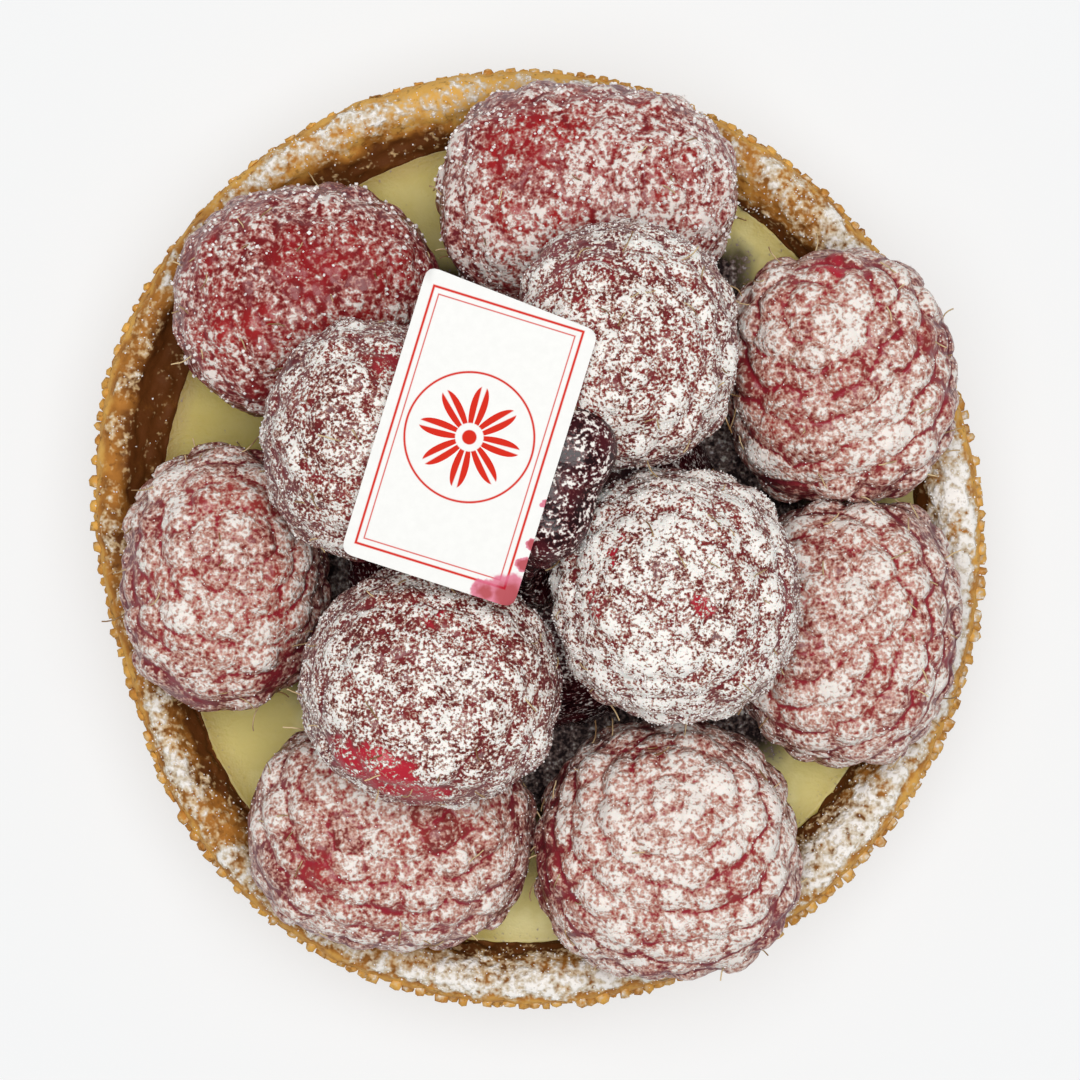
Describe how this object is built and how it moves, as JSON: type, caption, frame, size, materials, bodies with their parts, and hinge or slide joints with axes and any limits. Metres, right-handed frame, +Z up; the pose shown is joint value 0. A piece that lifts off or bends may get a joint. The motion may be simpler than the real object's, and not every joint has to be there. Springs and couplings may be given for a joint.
{
  "type": "raspberry tart",
  "caption": "Round tart: ribbed baked shell with a rolled rim, pale cream, large sugared raspberries heaped in two tiers round a jam middle, and a small paper card on top.",
  "frame": {"origin": "on the surface it stands on, under the middle of the whole tart's box seen from above", "axes": "+Z up, +Y to the far side as the picture shows it from above, +X to the right"},
  "size_m": [0.079, 0.083, 0.0507],
  "materials": {
    "crust": "baked sweet shortcrust, golden at the edge and brown inside, dusted with icing sugar",
    "cream": "smooth pale yellow cream with a soft sheen",
    "raspberry": "deep red fruit under a coat of fine icing sugar",
    "jam": "dark wet raspberry jam with specks of sugar",
    "card": "smooth white card with a red-orange print and a juice stain"
  },
  "bodies": {
    "root": {"crust": "crust", "cream": "cream", "jam": "jam", "card": "card", "raspberry_far": "raspberry", "raspberry_far_left": "raspberry", "raspberry_left": "raspberry", "raspberry_near_left": "raspberry", "raspberry_near_right": "raspberry", "raspberry_right": "raspberry", "raspberry_far_right": "raspberry", "raspberry_top_left": "raspberry", "raspberry_top_near": "raspberry", "raspberry_top_right": "raspberry", "raspberry_top_far": "raspberry"}
  },
  "joints": []
}
